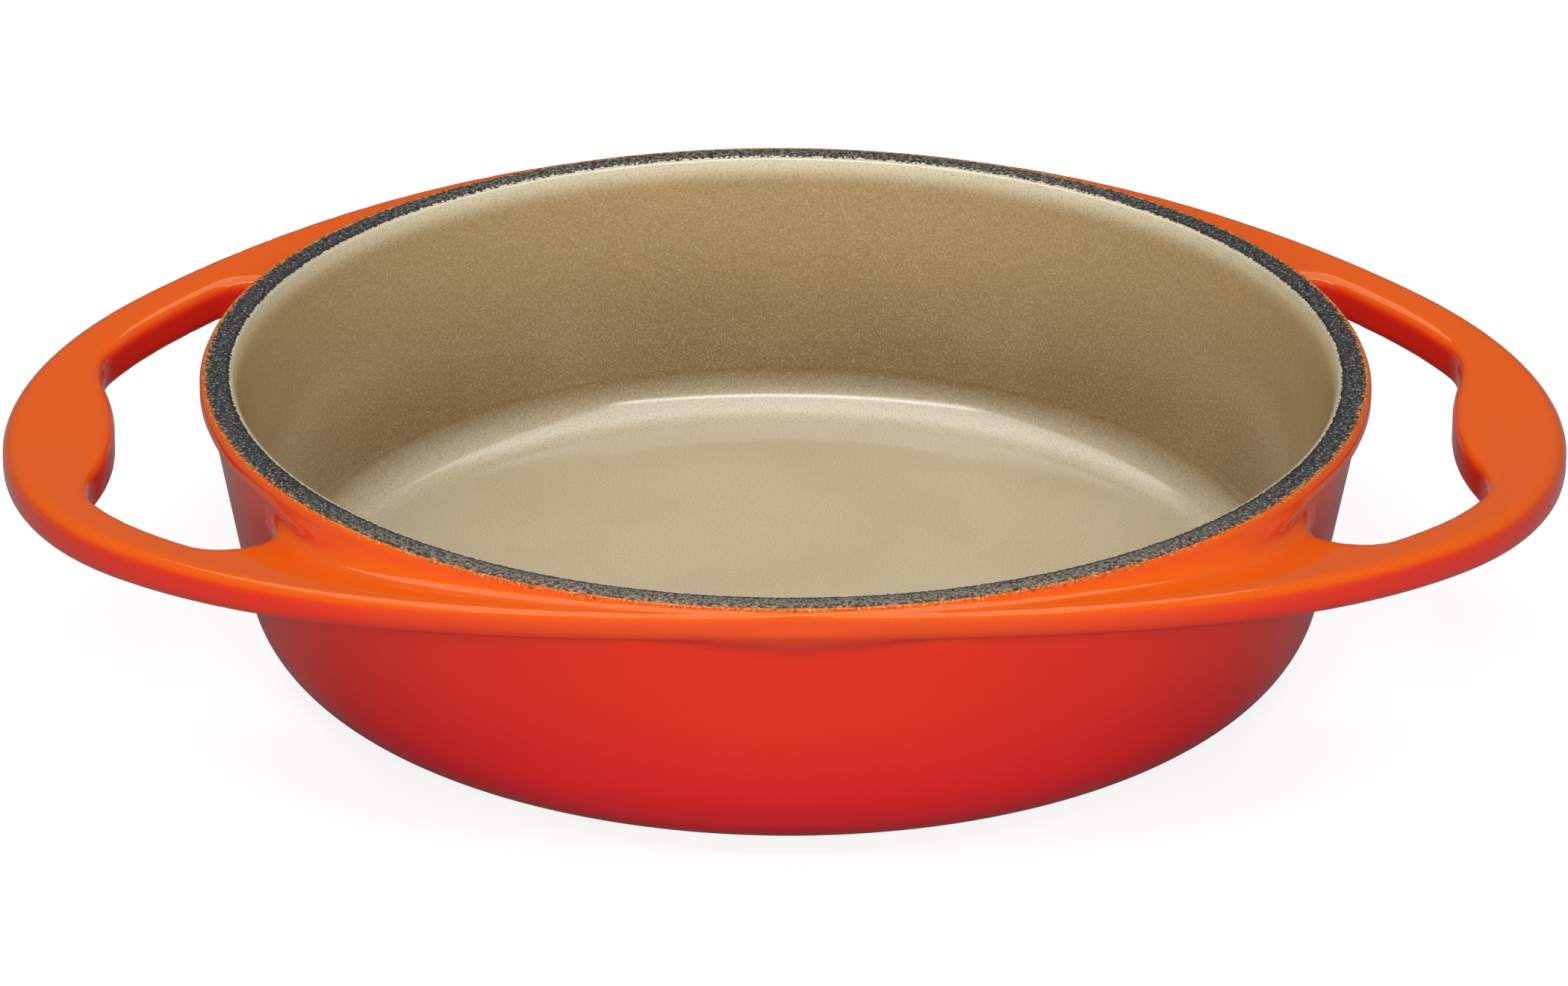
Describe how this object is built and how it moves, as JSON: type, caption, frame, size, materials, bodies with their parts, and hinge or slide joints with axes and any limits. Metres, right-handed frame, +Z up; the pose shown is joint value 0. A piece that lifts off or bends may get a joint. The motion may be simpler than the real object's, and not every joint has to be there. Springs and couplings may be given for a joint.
{
  "type": "round baking dish",
  "caption": "Round enamelled cast-iron baking dish for an upside-down tart, with a loop handle at each side, orange outside and sand inside.",
  "frame": {"origin": "middle of the base, at the height the dish stands on", "axes": "+X through both handles, +Y from the front to the back, +Z up through the open top"},
  "size_m": [0.3384, 0.2546, 0.0625],
  "materials": {
    "dark cast iron": "rough",
    "orange gloss enamel": "gloss",
    "sand satin enamel": "satin",
    "dark ground enamel": "matt",
    "dark base enamel": "satin"
  },
  "bodies": {
    "root": {"iron_casting": "dark cast iron", "exterior_enamel": "orange gloss enamel", "interior_enamel": "sand satin enamel", "rim_ground_coat": "dark ground enamel", "base_enamel": "dark base enamel"}
  },
  "joints": []
}
